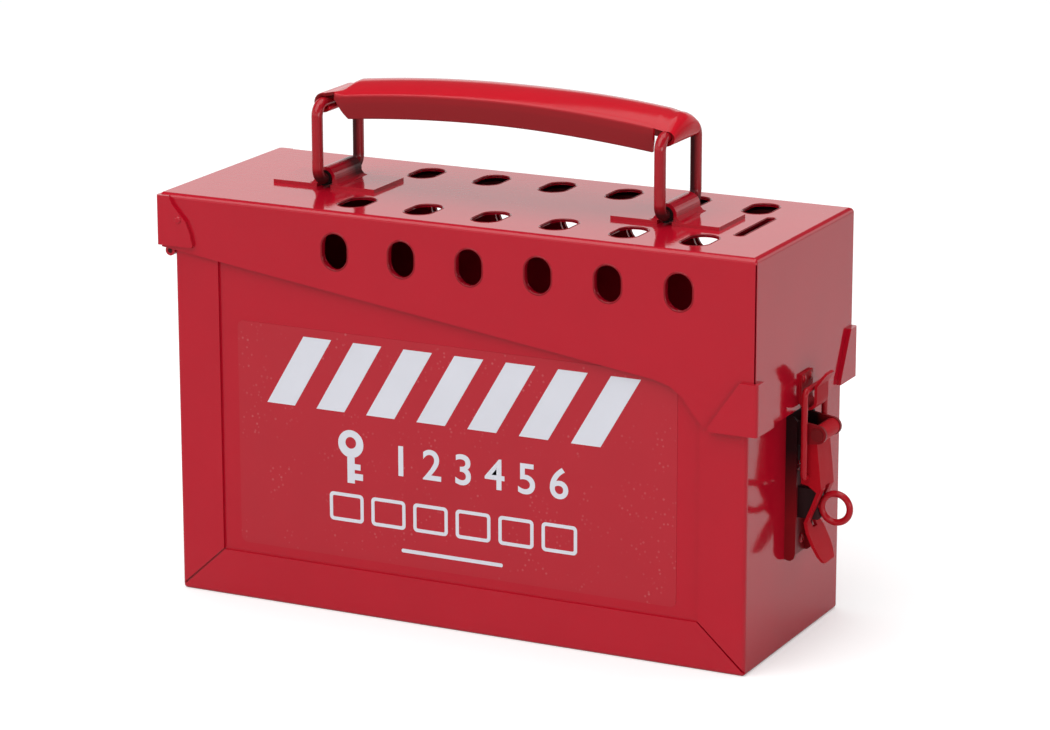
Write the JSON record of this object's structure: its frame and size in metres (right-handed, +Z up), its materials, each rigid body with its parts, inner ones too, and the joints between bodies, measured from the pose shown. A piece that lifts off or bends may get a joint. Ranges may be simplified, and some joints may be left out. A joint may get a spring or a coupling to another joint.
{
  "type": "group lockout box",
  "caption": "Red sheet-metal group lockout box with a slotted hinged lid, key slot, linked carrying handle and padlockable draw latch.",
  "frame": {"origin": "middle of the box's footprint on the surface it stands on", "axes": "+X towards the latch end, -X towards the hinge end, -Y out of the front panel, +Z up"},
  "size_m": [0.2565, 0.0934, 0.191],
  "materials": {
    "body_paint": "glossy red enamel",
    "inner_paint": "glossy red enamel, shaded inside",
    "handle_paint": "glossy red enamel",
    "latch_paint": "glossy red enamel",
    "rivet_steel": "plain steel pin"
  },
  "bodies": {
    "box": {"body_bottom": "body_paint", "body_end_hinge": "body_paint", "body_end_latch": "body_paint", "front_panel": "body_paint", "back_panel": "body_paint", "top_rail_front": "inner_paint", "top_rail_back": "inner_paint", "hinge_leaf_body": "body_paint", "hinge_pin": "rivet_steel", "latch_base": "latch_paint", "latch_base_rivets": "latch_paint", "latch_pin": "rivet_steel", "padlock_eye": "latch_paint", "eye_post": "rivet_steel"},
    "lid": {"lid_top": "body_paint", "lid_skirt_front": "body_paint", "lid_skirt_back": "body_paint", "lid_skirt_latch": "body_paint", "lid_end_hinge": "body_paint", "lid_tab_rivets": "body_paint", "corner_guard_front": "body_paint", "corner_guard_back": "body_paint", "hinge_leaf_lid": "body_paint", "handle_bracket_left": "body_paint", "handle_bracket_right": "body_paint", "keeper": "latch_paint", "keeper_rivets": "latch_paint"},
    "link_left": {"handle_link_left": "handle_paint"},
    "link_right": {"handle_link_right": "handle_paint"},
    "grip": {"handle_grip": "handle_paint"},
    "lever": {"latch_lever": "latch_paint"},
    "bail": {"latch_bail": "latch_paint"}
  },
  "joints": [
    {"name": "lid_open", "type": "hinge", "parent": "box", "child": "lid", "pos_m": [-0.1153, 0, 0.1293], "axis": [0, -1, 0], "range_deg": [0, 130]},
    {"name": "handle_fold", "type": "hinge", "parent": "lid", "child": "link_left", "pos_m": [-0.0685, 0, 0.1545], "axis": [0, 1, 0], "range_deg": [-75, 75]},
    {"name": "handle_right", "type": "hinge", "parent": "lid", "child": "link_right", "pos_m": [0.0685, 0, 0.1545], "axis": [0, 1, 0], "range_deg": [-75, 75]},
    {"name": "grip_level", "type": "hinge", "parent": "link_left", "child": "grip", "pos_m": [-0.0685, 0, 0.1826], "axis": [0, 1, 0], "range_deg": [-75, 75]},
    {"name": "latch_lever", "type": "hinge", "parent": "box", "child": "lever", "pos_m": [0.1262, 0, 0.0803], "axis": [0, -1, 0], "range_deg": [0, 80]},
    {"name": "latch_bail", "type": "hinge", "parent": "lever", "child": "bail", "pos_m": [0.122, 0, 0.0642], "axis": [0, -1, 0], "range_deg": [-40, 0]}
  ],
  "couplings": [
    {"joint": "handle_right", "follows": "handle_fold", "ratio": 1},
    {"joint": "grip_level", "follows": "handle_fold", "ratio": -1},
    {"joint": "latch_bail", "follows": "latch_lever", "ratio": -0.5}
  ]
}
